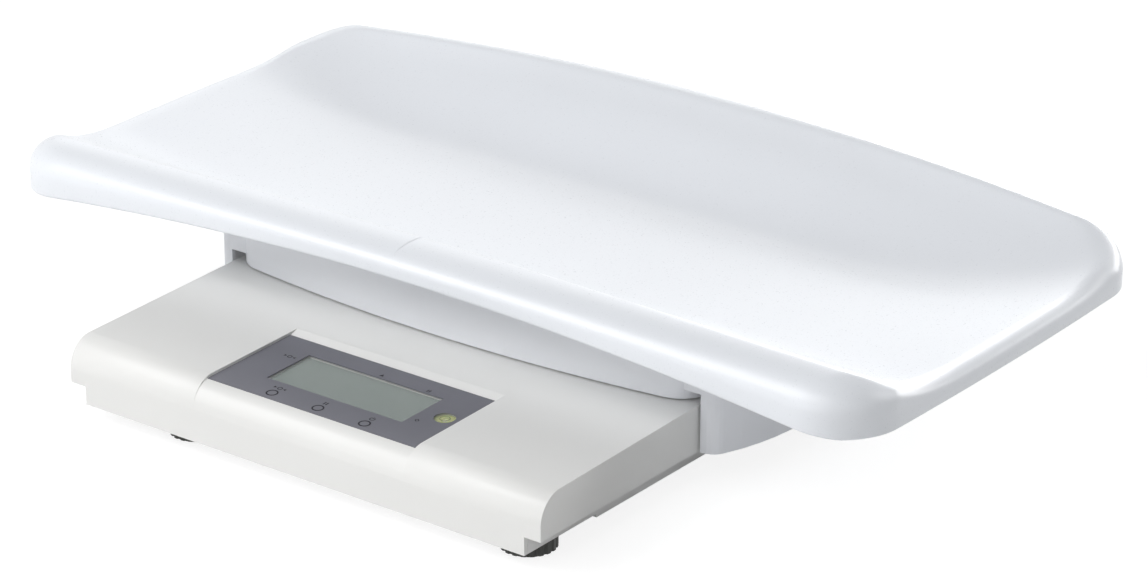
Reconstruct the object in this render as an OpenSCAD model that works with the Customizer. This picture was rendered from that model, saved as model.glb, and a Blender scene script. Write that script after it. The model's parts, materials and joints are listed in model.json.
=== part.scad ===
// Digital baby weighing scale: a low console with a membrane panel in front, a cover over the
// load cell behind it, and a long shallow tray that lies on the cover.
// The sizes below are counted from the middle of the console's front face, at the level of the
// bottom cover's underside: X to the right, Y to the back, Z up. placed() then moves every piece so
// that the origin is under the middle of the whole scale, on the surface that the feet stand on.

/* [Console] */
// Width of the console over its side walls
console_w = 320; // [300:1:340]
// Length of the console from its front face to its end under the tray cover
console_l = 152; // [146:1:160]
// Height of the console's top at the front face
console_h = 34.2; // [33:0.1:38]
// Rise of the console's top for each millimetre towards the back
top_slope = 0.0215; // [0:0.0005:0.024]
// Radius of the long front edge
front_r = 16; // [12:0.5:18]
// Wall of the console housing
console_wall = 2.5; // [2:0.1:3]
// Height at which the side walls end above the cover's underside
side_lift = 10.5; // [9:0.1:12]
// Inset of the lower wall from each side of the console
side_inset = 10.4; // [9:0.1:12]

/* [Panel] */
// Width of the sunken centre channel and of the panel in it
panel_w = 142.8; // [136:0.2:150]
// Distance of the panel's front edge from the console's front face
panel_y = 11.4; // [10.5:0.1:12]
// Length of the panel from front to back
panel_l = 67.2; // [66:0.2:70]
// Depth of the channel under the console's top
channel_d = 1.4; // [1:0.1:1.8]
// Thickness of the printed panel film
film_t = 0.5; // [0.4:0.05:0.6]
// Width of the display window
window_w = 92; // [86:0.5:94]
// Length of the display window from front to back
window_l = 34.4; // [30:0.2:36]
// Distance of the window's front edge from the console's front face
window_y = 30.4; // [29:0.2:31]
// Spacing of the three keys
key_pitch = 31.5; // [28:0.5:33]
// Distance of the keys from the console's front face
key_y = 17.8; // [17:0.1:19]
// Radius of a key
key_r = 3.5; // [3:0.1:4]
// Travel of a key
key_travel = 0.3; // [0.2:0.05:0.35]
// Place of the spirit level: right of the middle
level_x = 61; // [59:0.5:62]
// Place of the spirit level: from the console's front face
level_y = 47.3; // [44:0.1:50]
// Radius of the spirit level's visible face
level_r = 5.9; // [5:0.1:6]

/* [Base] */
// Thickness of the bottom cover's floor
floor_t = 2.5; // [2:0.1:3]
// Gap between the bottom cover's rear end and the tray cover's rear wall
base_gap = 3; // [2:0.5:8]
// Height of the bottom cover's side walls
base_wall_h = 13; // [12:0.5:14]
// How far the plinth stands out under the bottom cover
plinth_d = 2; // [1:0.1:3]
// Thickness of the steel chassis plate
chassis_t = 2; // [1.5:0.1:2.5]
// Height of the chassis plate's folded edges
chassis_flange = 8; // [5:0.5:10]

/* [Feet] */
// Distance of a foot's underside from the bottom cover
foot_drop = 9.5; // [9:0.1:12]
// Radius of the scalloped wheel
wheel_r = 15.2; // [13:0.1:16]
// Scallops around the wheel
scallops = 20; // [12:1:24]
// Gap between the wheel and the bottom cover
wheel_gap = 0.8; // [0.5:0.1:1.5]
// Radius of the levelling stud
stud_r = 4; // [3:0.1:4.5]
// Radius of the rubber pad under the wheel
pad_r = 12.4; // [10:0.1:12.8]
// Distance of the front feet from the console's front face
foot_front_y = 25; // [24:0.5:28]
// Distance of the rear feet from the bottom cover's rear end
foot_inset = 17; // [16:1:24]
// Place of the front left foot, left of the middle, inboard of the battery bay
foot_left_x = 92; // [90:0.5:94]
// Place of the front right foot and of both rear feet from the middle
foot_right_x = 133; // [130:0.5:134]

/* [Battery bay] */
// Diameter of a cell
cell_d = 14.5; // [14:0.1:14.6]
// Length of a cell
cell_l = 50.5; // [49:0.1:50.6]
// Wall around the bay
bay_wall = 1.6; // [1.4:0.1:1.8]
// Thickness of the battery door
door_t = 2; // [1.6:0.1:2.2]
// Radius of the door's hinge pins
door_pin_r = 1.2; // [1:0.1:1.4]

/* [Weighing platform] */
// Gap between the console's rear end and the platform plate
platform_gap = 8; // [6:0.5:12]
// Length of the load cell
beam_l = 130; // [120:1:140]
// Width of the load cell
beam_w = 30; // [24:1:34]
// Height of the load cell
beam_h = 22; // [20:0.5:24]
// Height of the packing piece under the load cell's fixed end
packer_h = 4; // [3:0.5:4.5]
// Gap in which the platform sinks under load
sink_gap = 0.4; // [0.35:0.05:0.5]
// Thickness of the platform plate
bracket_t = 3; // [2.5:0.5:4]
// Length of the platform plate
bracket_l = 250; // [230:1:256]
// Width of the platform plate
bracket_w = 136; // [120:1:138]
// Sideways place of the posts and tray screws from the middle
post_x = 90; // [80:1:96]
// Place of the posts and tray screws before and behind the load cell
post_y = 32; // [28:0.5:34]
// Radius of a post
post_r = 7; // [6:0.5:8]

/* [Tray cover] */
// How far the cover's flat front lies behind the tray's front edge
cover_inset = 48.9; // [46:0.1:54]
// Half width of the cover at the widest place
cover_half = 184.5; // [180:0.5:188]
// How much narrower the cover is at its corners
cover_waist = 12.5; // [10:0.5:14]
// Radius of the cover's upright corners
cover_r = 10; // [8:0.5:12]
// How far the front wall swells towards the panel
swell_d = 13.6; // [10:0.2:15]
// Half width of the swelling between its round ends
swell_half = 141; // [138:0.5:144]
// How far the swelling's front bows back at its round ends
swell_bow = 9.5; // [8:0.1:11]
// Radius of the swelling's round ends
swell_r = 20; // [18:0.5:21]
// Wall of the cover
cover_wall = 2.5; // [2:0.1:3]
// Height of the cover's top plate over the bottom cover
cover_top = 55; // [54:0.5:56]
// Gap between the cover and the console's top
cover_gap = 1; // [0.8:0.1:1.4]
// Height of the two openings beside the swelling over the console's top
notch_h = 6.4; // [5:0.2:8]

/* [Tray] */
// Half length of the tray's outer edge at its corners
tray_half = 289.2; // [283:0.1:294]
// How far the ends bow out
end_bow = 3.2; // [2:0.1:8]
// Reach of the tray from the load cell's middle to its front edge
tray_front_reach = 143.3; // [138:0.1:148]
// Reach of the tray from the load cell's middle to its rear corners
tray_rear_reach = 130.6; // [127:0.1:137]
// How far the rear edge bows back in the middle
rear_bow = 18; // [12:0.5:24]
// Height of the tray's floor over the bottom cover
tray_floor = 62; // [61.5:0.1:64]
// Thickness of the tray
tray_t = 3; // [2.6:0.1:3.4]
// Width of the rolled front rim
front_roll = 24.4; // [22:0.1:30]
// Width of the rolled rims at the ends and the rear
side_roll = 6.8; // [5:0.1:10]
// Height of the front crest over the bottom cover in its middle
front_crest = 102.1; // [98:0.1:106]
// How much lower the front crest is at the corners
front_fall = 6.4; // [2:0.1:8]
// Height of the rear crest over the bottom cover in its middle
rear_crest = 103.2; // [98:0.1:108]
// How much lower the rear crest is at the corners
rear_fall = 11.4; // [6:0.1:14]
// Rise of the floor from its middle to the ends
end_rise = 14.8; // [8:0.1:16]
// Height of the rim's lower edge at the ends over the bottom cover
rim_foot = 64.7; // [62:0.1:70]
// How much the rim's lower edge arches up in the middle
rim_arch = 17.3; // [10:0.1:19]
// Radius that rounds the crest to the inside
crest_r = 8; // [5:0.5:10]
// Outer corner radius at the front
front_corner = 37; // [32:1:44]
// Outer corner radius at the rear
rear_corner = 26; // [22:1:36]
// Corner radius of the crest line at the front
crest_front_corner = 18.4; // [14:0.1:24]
// Corner radius of the crest line at the rear
crest_rear_corner = 32; // [20:1:40]

/* [Hidden] */
$fn = 64;

// Length that a cut runs past the face it opens
past = 1;
// Gap between pieces that lie side by side in one body
play = 0.15;
// Radial clearance of turning and sliding round fits
fit = 0.06;

// Middle of the load cell, which the tray and its cover are placed from
cell_y = console_l + platform_gap + bracket_w / 2;
tray_y = cell_y - tray_front_reach;
tray_rear = cell_y + tray_rear_reach;
cover_y = tray_y + cover_inset;
cover_rear = 2 * cell_y - cover_y;
base_l = cover_rear - cover_wall - base_gap;
foot_rear_y = base_l - foot_inset;
overall_l = tray_rear + rear_bow;
console_half = console_w / 2;
low_half = console_half - side_inset;
tilt = atan(top_slope);
film_top = -channel_d;
roof_t = 2;
plinth_y = [foot_front_y + 35, foot_rear_y - 30];

white = [0.93, 0.93, 0.92];
cool_white = [0.93, 0.94, 0.96];
steel = [0.62, 0.63, 0.65];
dark = [0.13, 0.14, 0.14];

// ---- places -----------------------------------------------------------------------------------

// From the console's front face to the scale's own frame
module placed() {
    translate([0, -overall_l / 2, foot_drop]) children();
}

// The console's tilted top: the drawing plane is the top itself, counted from the front face
module on_top() {
    translate([0, 0, console_h]) rotate([tilt, 0, 0]) children();
}

function top_at(y) = console_h + top_slope * y;

foot_places = [
    [-foot_left_x, foot_front_y], [foot_right_x, foot_front_y],
    [-foot_right_x, foot_rear_y], [foot_right_x, foot_rear_y],
];
front_screws = [[-82, 9.5], [82, 9.5]];
// Screw bosses between the console and the bottom cover
boss_x = 100;
boss_places = [for (x = [-boss_x, boss_x], y = [62, console_l - 14]) [x, y]];
post_places = [for (x = [-post_x, post_x], y = [-post_y, post_y]) [x, cell_y + y]];

// ---- console ----------------------------------------------------------------------------------

boss_r = 4;
screw_r = 1.5;
screw_head_r = 3;
screw_l = 13;
// How deep the screw heads lie in the bottom cover
head_sink = 1;

// Side view of the console, drawn with Y to the right: inset from its faces, top sunk further
module console_profile(inset, sink, bottom, length) {
    r = front_r - inset - sink;
    // where the round front edge runs into the top
    end_y = inset + r;
    centre_z = top_at(end_y) - inset - sink - r;
    difference() {
        polygon([
            [inset, bottom], [length - inset, bottom],
            [length - inset, top_at(length - inset) - inset - sink],
            [inset, top_at(inset) - inset - sink],
        ]);
        translate([inset - past, centre_z]) square([end_y - inset + past, 2 * front_r]);
    }
    intersection() {
        translate([inset + r, centre_z]) circle(r);
        translate([inset - past, centre_z - 0.01]) square([end_y - inset + past, 2 * front_r]);
    }
}

// Extrudes a side view across the console
module across(width) {
    translate([-width / 2, 0, 0]) rotate([90, 0, 90]) linear_extrude(width) children();
}

// The sunken channel in the top, with its own smaller front edge and a ramp at the back
module channel_cut() {
    ramp = 6;
    rear = panel_y + panel_l;
    across(panel_w) difference() {
        polygon([
            [-past, console_h - front_r + 0.4], [-past, console_h + front_r],
            [rear + 10 * ramp, top_at(rear + 10 * ramp) + past],
            [rear + ramp, top_at(rear + ramp)],
            [rear, top_at(rear) - channel_d], [rear, console_h - front_r + 0.4],
        ]);
        console_profile(0, channel_d, 0, console_l);
    }
}

module console_housing() {
    ledge_t = 2;
    // rebate for the clear pane, wider than the window all round
    rebate = 3;
    rebate_h = 1.2;
    color(white) placed() difference() {
        union() {
            difference() {
                across(console_w) console_profile(0, 0, 0, console_l);
                across(console_w - 2 * console_wall)
                    console_profile(console_wall, 0, -past, console_l);
                // the side walls stop above the lower wall
                for (side = [-1, 1])
                    translate([side * (low_half + console_half) / 2, console_l / 2, 0])
                        cube([console_half - low_half, console_l + 2 * past, 2 * side_lift],
                             center = true);
                // the rear end wall stands over the bottom cover's edges
                translate([-console_half, console_l - console_wall - past, -past])
                    cube([console_w, console_wall + 2 * past, base_wall_h + play + past]);
            }
            // ledges that close the console from its side walls to the bottom cover
            for (side = [-1, 1])
                translate([side * (low_half + play + console_half) / 2, console_l / 2,
                           side_lift + ledge_t / 2])
                    cube([side_inset - play, console_l - console_wall, ledge_t], center = true);
            // thicker roof under the channel
            intersection() {
                on_top() translate([-panel_w / 2 - 3, console_wall, film_top - film_t - roof_t])
                    cube([panel_w + 6, panel_y + panel_l + 8, film_t + roof_t]);
                across(panel_w + 6) console_profile(console_wall / 2, 0, 0, console_l);
            }
            for (p = boss_places)
                translate([p[0], p[1], floor_t + 0.3])
                    cylinder(r = boss_r, h = top_at(p[1]) - console_wall - floor_t);
            // the front bosses end inside the round front edge
            for (p = front_screws)
                translate([p[0], p[1], floor_t + 0.3])
                    cylinder(r = boss_r, h = console_h - front_r / 3 - floor_t - 0.3);
            // posts that the board is screwed to
            for (p = board_holes)
                on_top() translate([p[0], p[1], board_top])
                    cylinder(r = 3, h = film_top - film_t - roof_t / 2 - board_top);
        }
        channel_cut();
        on_top() {
            // seat of the film
            translate([-panel_w / 2 + play, panel_y, film_top - film_t])
                cube([panel_w - 2 * play, panel_l, 2 * film_t]);
            // window, with a rebate for the clear pane
            translate([-window_w / 2, window_y, -20]) cube([window_w, window_l, 20]);
            translate([-window_w / 2 - rebate, window_y - rebate, film_top - film_t - rebate_h])
                cube([window_w + 2 * rebate, window_l + 2 * rebate, rebate_h]);
            for (i = [-1, 0, 1])
                translate([i * key_pitch, key_y, -10]) cylinder(r = key_r + fit, h = 12);
            translate([level_x, level_y, -10]) cylinder(r = level_cup_r + play, h = 12);
            for (p = board_holes)
                translate([p[0], p[1], board_top - past]) cylinder(r = 0.9, h = 5);
        }
        for (p = concat(boss_places, front_screws))
            translate([p[0], p[1], 0]) cylinder(r = screw_r - 0.2, h = 16);
        translate([-console_half - past, jack_y, jack_z]) rotate([0, 90, 0])
            cylinder(r = jack_r + 0.4, h = console_wall + 2 * past);
    }
}

// ---- bottom cover -----------------------------------------------------------------------------

insert_r = 6.5;
insert_h = 12;

// The battery bay lies at the front left, along the left wall
bay_w = 2 * cell_d + 3;
bay_x = -low_half + floor_t + bay_wall;
bay_y = 8;
contact_t = 0.5;
end_gap = 0.3;
rib_t = 1.4;
barrel_r = 3.2;
cells_y = bay_y + play + contact_t + end_gap;
contact_y = cells_y + 2 * cell_l + end_gap;
rib_y = contact_y + contact_t + play;
hinge_y = rib_y + rib_t + 0.6 + barrel_r;
bay_l = hinge_y + barrel_r + 0.3 - bay_y;
bay_h = floor_t + cell_d + 0.6;
rib_z = 2 * barrel_r + 1.8;

// Hollow of the plinth, with ribs left under the chassis plate
module plinth_pocket() {
    rib_pitch = 27;
    difference() {
        translate([-low_half + floor_t, plinth_y[0] + floor_t, floor_t - plinth_d])
            cube([2 * (low_half - floor_t), plinth_y[1] - plinth_y[0] - 2 * floor_t, plinth_d + past]);
        for (i = [-5 : 5])
            translate([i * rib_pitch - rib_t / 2, plinth_y[0], 0])
                cube([rib_t, plinth_y[1] - plinth_y[0], floor_t]);
    }
}

module bottom_cover() {
    color(cool_white) placed() difference() {
        union() {
            difference() {
                translate([-low_half, console_wall + 0.2, 0])
                    cube([2 * low_half, base_l - console_wall - 0.2, base_wall_h]);
                translate([-low_half + floor_t, console_wall + 0.2 + floor_t, floor_t])
                    cube([2 * (low_half - floor_t), base_l - console_wall - 0.2 - 2 * floor_t,
                          base_wall_h]);
                plinth_pocket();
            }
            // flat plinth under the cover, hollow inside
            difference() {
                translate([-low_half, plinth_y[0], -plinth_d])
                    cube([2 * low_half, plinth_y[1] - plinth_y[0], plinth_d + floor_t]);
                plinth_pocket();
            }
            translate([bay_x - bay_wall, plinth_y[0], -plinth_d])
                cube([bay_w + 2 * bay_wall, bay_y + bay_l + bay_wall - plinth_y[0], plinth_d + past]);
            translate([bay_x - bay_wall, bay_y - bay_wall, 0])
                cube([bay_w + 2 * bay_wall, bay_l + 2 * bay_wall, bay_h + bay_wall]);
            for (p = foot_places)
                translate([p[0], p[1], 0]) cylinder(r = insert_r + floor_t, h = insert_h);
            for (p = concat(boss_places, chassis_bolts))
                translate([p[0], p[1], 0]) cylinder(r = screw_head_r + 2, h = floor_t);
        }
        // the plinth leaves room for the battery door
        bay_room();
        for (p = foot_places)
            translate([p[0], p[1], -past]) cylinder(r = insert_r, h = insert_h + 2 * past);
        // screw holes, each with a counterbore for the head
        for (p = concat(boss_places, front_screws, chassis_bolts))
            translate([p[0], p[1], -plinth_d - past]) {
                cylinder(r = screw_r + 0.1, h = base_wall_h);
                cylinder(r = screw_head_r + 0.3, h = plinth_d + past + head_sink);
            }
    }
}

// Room of the bay, with the contact rib left standing and the door's hinge bores
module bay_room() {
    difference() {
        translate([bay_x, bay_y, -past]) cube([bay_w, bay_l, bay_h + past]);
        translate([bay_x - past, rib_y, rib_z]) cube([bay_w + 2 * past, rib_t, bay_h]);
    }
    translate([bay_x - bay_wall - past, hinge_y, barrel_r]) rotate([0, 90, 0])
        cylinder(r = door_pin_r + fit, h = bay_w + 2 * bay_wall + 2 * past);
    // the door swings down past the plinth
    translate([bay_x - 0.3, bay_y, -plinth_d - past])
        cube([bay_w + 0.6, bay_l, plinth_d + past + 0.001]);
}

module battery_door() {
    gap = 0.3;
    latch_w = 12;
    color(cool_white) placed() difference() {
        union() {
            translate([bay_x + gap, bay_y + gap, 0])
                cube([bay_w - 2 * gap, hinge_y - bay_y - gap, door_t]);
            translate([bay_x + gap, hinge_y, barrel_r]) rotate([0, 90, 0])
                cylinder(r = barrel_r, h = bay_w - 2 * gap);
            translate([bay_x - bay_wall + gap, hinge_y, barrel_r]) rotate([0, 90, 0])
                cylinder(r = door_pin_r, h = bay_w + 2 * (bay_wall - gap));
        }
        // U-shaped slot that frees the latch tongue, and its finger hollow
        for (side = [-1, 1])
            translate([bay_x + bay_w / 2 + side * latch_w / 2 - 0.6, bay_y, -past])
                cube([1.2, 14, door_t + 2 * past]);
        translate([bay_x + bay_w / 2, bay_y + 9, -9]) sphere(r = 10);
        // grip grooves
        for (i = [0 : 4])
            translate([bay_x + 6, bay_y + 26 + 4 * i, -past]) cube([bay_w - 12, 1.6, past + 0.5]);
    }
}

cell_z = floor_t + cell_d / 2 + 0.2;
cell_x = [bay_x + 0.8 + cell_d / 2, bay_x + bay_w - 0.8 - cell_d / 2];

module battery_cells() {
    cap_r = 2.75;
    cap_h = 1;
    color([0.2, 0.35, 0.3]) placed()
        for (i = [0, 1], n = [0, 1])
            translate([cell_x[i], cells_y + n * cell_l, cell_z])
                rotate([-90, 0, 0])
                    if (i == 0) {
                        cylinder(r = cell_d / 2, h = cell_l - cap_h);
                        translate([0, 0, cell_l - cap_h - 0.01]) cylinder(r = cap_r, h = cap_h - 0.04);
                    } else {
                        translate([0, 0, cap_h]) cylinder(r = cell_d / 2, h = cell_l - cap_h - 0.05);
                        translate([0, 0, 0.05]) cylinder(r = cap_r, h = cap_h);
                    }
}

// Sprung contact plates at both ends of the bay
module battery_contacts() {
    h = 10;
    color([0.78, 0.76, 0.7]) placed() {
        for (x = cell_x)
            translate([x - 4.5, bay_y + play, cell_z - h / 2]) cube([9, contact_t, h]);
        translate([cell_x[0] - 4.5, contact_y, rib_z + 0.4])
            cube([cell_x[1] - cell_x[0] + 9, contact_t, h - 2]);
    }
}

// ---- chassis and load cell --------------------------------------------------------------------

chassis_y = [console_l + 6, base_l - 9];
chassis_half = 112;
chassis_bolts = [for (x = [-80, 80], y = [chassis_y[0] + 10, chassis_y[1] - 10]) [x, y]];
beam_bottom = floor_t + chassis_t + packer_h;
beam_top = beam_bottom + beam_h;
end_l = 30;
bolt_r = 3;
bolt_pitch = 15;
platform_packer_h = 3;
platform_z = beam_top + sink_gap + platform_packer_h;

module chassis_plate() {
    z = floor_t;
    color(steel) placed() difference() {
        union() {
            translate([-chassis_half, chassis_y[0], z])
                cube([2 * chassis_half, chassis_y[1] - chassis_y[0], chassis_t]);
            for (side = [-1, 1])
                translate([side * (chassis_half - chassis_t / 2), (chassis_y[0] + chassis_y[1]) / 2,
                           z + chassis_flange / 2])
                    cube([chassis_t, chassis_y[1] - chassis_y[0], chassis_flange], center = true);
        }
        for (p = chassis_bolts) translate([p[0], p[1], 0]) cylinder(r = screw_r + 0.2, h = 10);
        for (p = beam_bolts(-1)) translate([p[0], p[1], 0]) cylinder(r = bolt_r + 0.2, h = 10);
        for (p = stop_places) translate([p[0], p[1], 0]) cylinder(r = stop_r + 0.1, h = 10);
    }
}

// Bolt places at the fixed (-1) or the free (1) end of the load cell
function beam_bolts(side) = [
    for (i = [-0.5, 0.5]) [side * (beam_l / 2 - end_l / 2) + i * bolt_pitch, cell_y]
];

module load_cell() {
    eye_r = beam_h * 0.34;
    eye_gap = 9;
    color([0.75, 0.77, 0.8]) placed() difference() {
        translate([-beam_l / 2, cell_y - beam_w / 2, beam_bottom]) cube([beam_l, beam_w, beam_h]);
        // two eyes joined by a slot leave the thin webs that bend
        for (side = [-1, 1])
            translate([side * eye_gap, cell_y - beam_w / 2 - past, beam_bottom + beam_h / 2])
                rotate([-90, 0, 0]) cylinder(r = eye_r, h = beam_w + 2 * past);
        translate([-eye_gap, cell_y - beam_w / 2 - past, beam_bottom + beam_h / 2 - 2])
            cube([2 * eye_gap, beam_w + 2 * past, 4]);
        for (side = [-1, 1], p = beam_bolts(side))
            translate([p[0], p[1], beam_bottom - past]) cylinder(r = bolt_r, h = beam_h + 2 * past);
    }
}

module load_cell_packer() {
    color(steel) placed() difference() {
        translate([-beam_l / 2, cell_y - beam_w / 2, floor_t + chassis_t])
            cube([end_l, beam_w, packer_h]);
        for (p = beam_bolts(-1)) translate([p[0], p[1], 0]) cylinder(r = bolt_r + 0.2, h = 30);
    }
}

// Cap screw with its head down and its tip up
module cap_screw(r, head_r, head_h, length) {
    translate([0, 0, -head_h]) cylinder(r = head_r, h = head_h);
    translate([0, 0, -0.01]) cylinder(r = r, h = length + 0.01);
}

module load_cell_screws() {
    color(dark) placed()
        for (p = beam_bolts(-1))
            translate([p[0], p[1], floor_t]) difference() {
                cylinder(r = bolt_r - play, h = chassis_t + packer_h + 14);
                translate([0, 0, -past]) cylinder(r = 1.3, h = past + 2, $fn = 6);
            }
}

stop_r = 3;
// Stop screws under the corners of the platform plate
stop_x = bracket_w * 0.75;
stop_y = bracket_w / 2 - 13;
stop_places = [for (x = [-stop_x, stop_x], y = [-stop_y, stop_y]) [x, cell_y + y]];

// Stop screws that catch the platform when the scale is overloaded
module overload_stops() {
    nut_r = 6;
    color(steel) placed()
        for (p = stop_places) translate([p[0], p[1], floor_t]) {
            cylinder(r = stop_r, h = platform_z - sink_gap - floor_t);
            translate([0, 0, chassis_t]) cylinder(r = nut_r, h = 4, $fn = 6);
        }
}

// ---- panel ------------------------------------------------------------------------------------

// Heights under the console's top, all in the tilted frame
glass_top = film_top - 2.4;
glass_t = 2;
light_t = 4;
board_top = glass_top - glass_t - light_t;
board_t = 1.6;
board_w = 142;
board_y = [9, 78];
board_holes = [[-66, 13], [66, 13], [-66, 74], [66, 74]];
level_cup_r = 7.2;

module panel_film() {
    color([0.43, 0.43, 0.47]) placed() on_top() difference() {
        translate([-panel_w / 2 + 2 * play, panel_y + play, film_top - film_t])
            cube([panel_w - 4 * play, panel_l - 2 * play, film_t]);
        translate([-window_w / 2, window_y, film_top - film_t - past])
            cube([window_w, window_l, film_t + 2 * past]);
        for (i = [-1, 0, 1])
            translate([i * key_pitch, key_y, film_top - film_t - past])
                cylinder(r = key_r + fit, h = film_t + 2 * past);
        translate([level_x, level_y, film_top - film_t - past])
            cylinder(r = level_r, h = film_t + 2 * past);
    }
}

module lcd_window() {
    color([0.8, 0.85, 0.85, 0.4]) placed() on_top()
        translate([-window_w / 2 - 2.8, window_y - 2.8, film_top - film_t - 1])
            cube([window_w + 5.6, window_l + 5.6, 1]);
}

module lcd_glass() {
    color([0.5, 0.56, 0.52]) placed() on_top()
        translate([-window_w / 2 + play, window_y + play, glass_top - glass_t])
            cube([window_w - 2 * play, window_l - 2 * play, glass_t + 0.8]);
}

module lcd_backlight() {
    color([0.9, 0.9, 0.88]) placed() on_top() difference() {
        translate([-window_w / 2 - 4, window_y - 4, board_top])
            cube([window_w + 8, window_l + 8, light_t]);
        translate([-window_w / 2 + 6, window_y + 6, board_top - past])
            cube([window_w - 12, window_l - 12, 2]);
    }
}

module main_board() {
    color([0.1, 0.36, 0.2]) placed() on_top() difference() {
        translate([-board_w / 2, board_y[0], board_top - board_t])
            cube([board_w, board_y[1] - board_y[0], board_t]);
        for (p = board_holes)
            translate([p[0], p[1], board_top - board_t - past]) cylinder(r = 1.3, h = board_t + 2 * past);
    }
}

module board_screws() {
    color(steel) placed() on_top()
        for (p = board_holes) translate([p[0], p[1], board_top - board_t])
            cap_screw(0.85, 2.4, 1.6, board_t + 3.5);
}

// Tactile switches under the keys
module tact_switches() {
    body_w = 6;
    body_h = 1.6;
    color(dark) placed() on_top()
        for (i = [-1, 0, 1]) translate([i * key_pitch, key_y, board_top]) {
            translate([-body_w / 2, -body_w / 2, 0]) cube([body_w, body_w, body_h]);
            translate([0, 0, body_h - 0.01]) cylinder(r = 1.7, h = switch_top - board_top - body_h);
        }
}

// Something on the board's underside: its size and its place on the board
module board_part(size, place) {
    translate([place[0], place[1], -size[2]]) cube(size);
}

module controller_parts() {
    buzzer_r = 6;
    buzzer_h = 5;
    color(dark) placed() on_top() translate([0, board_y[0], board_top - board_t]) {
        // controller, load cell amplifier and the plugs of load cell and battery
        board_part([16, 16, 1.4], [-8, 27]);
        board_part([7, 10, 1.2], [26, 31]);
        board_part([16, 6, 6], [40, 55]);
        board_part([6, 12, 6], [-58, 21]);
        translate([-40, 43, -buzzer_h]) cylinder(r = buzzer_r, h = buzzer_h);
    }
}

flange_h = 0.5;
key_bottom = film_top - film_t - roof_t - 0.1 - flange_h;
switch_top = key_bottom - key_travel - 0.1;

// One key: a disc flush with the film, with a flange under the roof that keeps it in
module key(side) {
    color([0.43, 0.43, 0.47]) placed() on_top() translate([side * key_pitch, key_y, 0]) {
        translate([0, 0, key_bottom]) cylinder(r = key_r + 1.2, h = flange_h);
        translate([0, 0, key_bottom + 0.01]) cylinder(r = key_r, h = film_top - key_bottom - 0.01);
    }
}

module key_left() { key(-1); }
module key_middle() { key(0); }
module key_right() { key(1); }

vial_t = 1;
vial_h = 6;

module level_vial() {
    color([0.9, 0.95, 0.85, 0.4]) placed() on_top()
        translate([level_x, level_y, film_top - film_t - vial_h]) difference() {
            cylinder(r = level_cup_r, h = vial_h);
            translate([0, 0, vial_t]) cylinder(r = level_cup_r - vial_t, h = vial_h - 2 * vial_t);
        }
}

// The liquid, with the bubble as a hollow in its top
module level_liquid() {
    bubble_r = 1.9;
    color([0.78, 0.82, 0.45]) placed() on_top()
        translate([level_x, level_y, film_top - film_t - vial_h + vial_t]) difference() {
            cylinder(r = level_cup_r - vial_t, h = vial_h - 2 * vial_t);
            translate([0, 0, vial_h - 2 * vial_t + 0.6]) sphere(r = bubble_r);
        }
}

jack_y = 96;
jack_z = 25.5;
jack_r = 4;

module dc_jack() {
    depth = 12;
    color(dark) placed() translate([-console_half, jack_y, jack_z]) {
        difference() {
            union() {
                translate([0.6, 0, 0]) rotate([0, 90, 0]) cylinder(r = jack_r, h = console_wall);
                translate([console_wall + play, -4.5, -4.5]) cube([depth, 9, 9]);
            }
            rotate([0, 90, 0]) cylinder(r = 2.9, h = 10.5);
        }
        translate([1.6, 0, 0]) rotate([0, 90, 0]) cylinder(r = 1, h = 9.5);
    }
}

module housing_screws() {
    color(steel) placed() translate([0, 0, head_sink]) {
        for (p = boss_places)
            translate([p[0], p[1], 0]) cap_screw(screw_r - 0.2, screw_head_r, 1.8, screw_l);
        for (p = front_screws)
            translate([p[0], p[1], 0]) cap_screw(screw_r - 0.2, screw_head_r, head_sink, screw_l);
        for (p = chassis_bolts)
            translate([p[0], p[1], 0]) cap_screw(screw_r, screw_head_r, 1.8, floor_t + chassis_t + 2);
    }
}

// ---- platform ---------------------------------------------------------------------------------

plate_top = platform_z + bracket_t;

module platform_packer() {
    color(steel) placed() difference() {
        translate([beam_l / 2 - end_l, cell_y - beam_w / 2, beam_top + sink_gap])
            cube([end_l, beam_w, platform_packer_h]);
        for (p = beam_bolts(1)) translate([p[0], p[1], beam_top]) cylinder(r = bolt_r + 0.2, h = 10);
    }
}

module platform_plate() {
    rib_h = 6;
    color(steel) placed() difference() {
        union() {
            translate([-bracket_l / 2, cell_y - bracket_w / 2, platform_z])
                cube([bracket_l, bracket_w, bracket_t]);
            for (side = [-1, 1])
                translate([-bracket_l / 2, cell_y + side * (bracket_w / 2 - 1.5) - 1.5, platform_z])
                    cube([bracket_l, 3, rib_h]);
        }
        for (p = beam_bolts(1))
            translate([p[0], p[1], platform_z - past]) cylinder(r = bolt_r + 0.2, h = 10);
        for (p = post_places)
            translate([p[0], p[1], platform_z - past]) cylinder(r = 2.2, h = 10);
        // lightening holes
        for (x = [-52, 0, 52], y = [-46, 46])
            translate([x, cell_y + y, platform_z - past]) cylinder(r = 12, h = bracket_t + 2 * past);
    }
}

module platform_posts() {
    color(steel) placed()
        for (p = post_places) translate([p[0], p[1], plate_top]) difference() {
            cylinder(r = post_r, h = cover_top - cover_wall - plate_top);
            translate([0, 0, -past]) cylinder(r = 2.2, h = 40);
        }
}

module platform_screws() {
    color(dark) placed()
        for (p = beam_bolts(1)) translate([p[0], p[1], plate_top]) rotate([180, 0, 0])
            difference() {
                cap_screw(bolt_r - play, 5, 5, bracket_t + platform_packer_h + sink_gap + 12);
                translate([0, 0, -5 - past]) cylinder(r = 2.6, h = 3 + past, $fn = 6);
            }
}

module tray_screws() {
    color(dark) placed()
        for (p = post_places) translate([p[0], p[1], platform_z])
            cap_screw(2, 3.8, 2.4, tray_floor - tray_t - 0.8 - platform_z);
}

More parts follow.
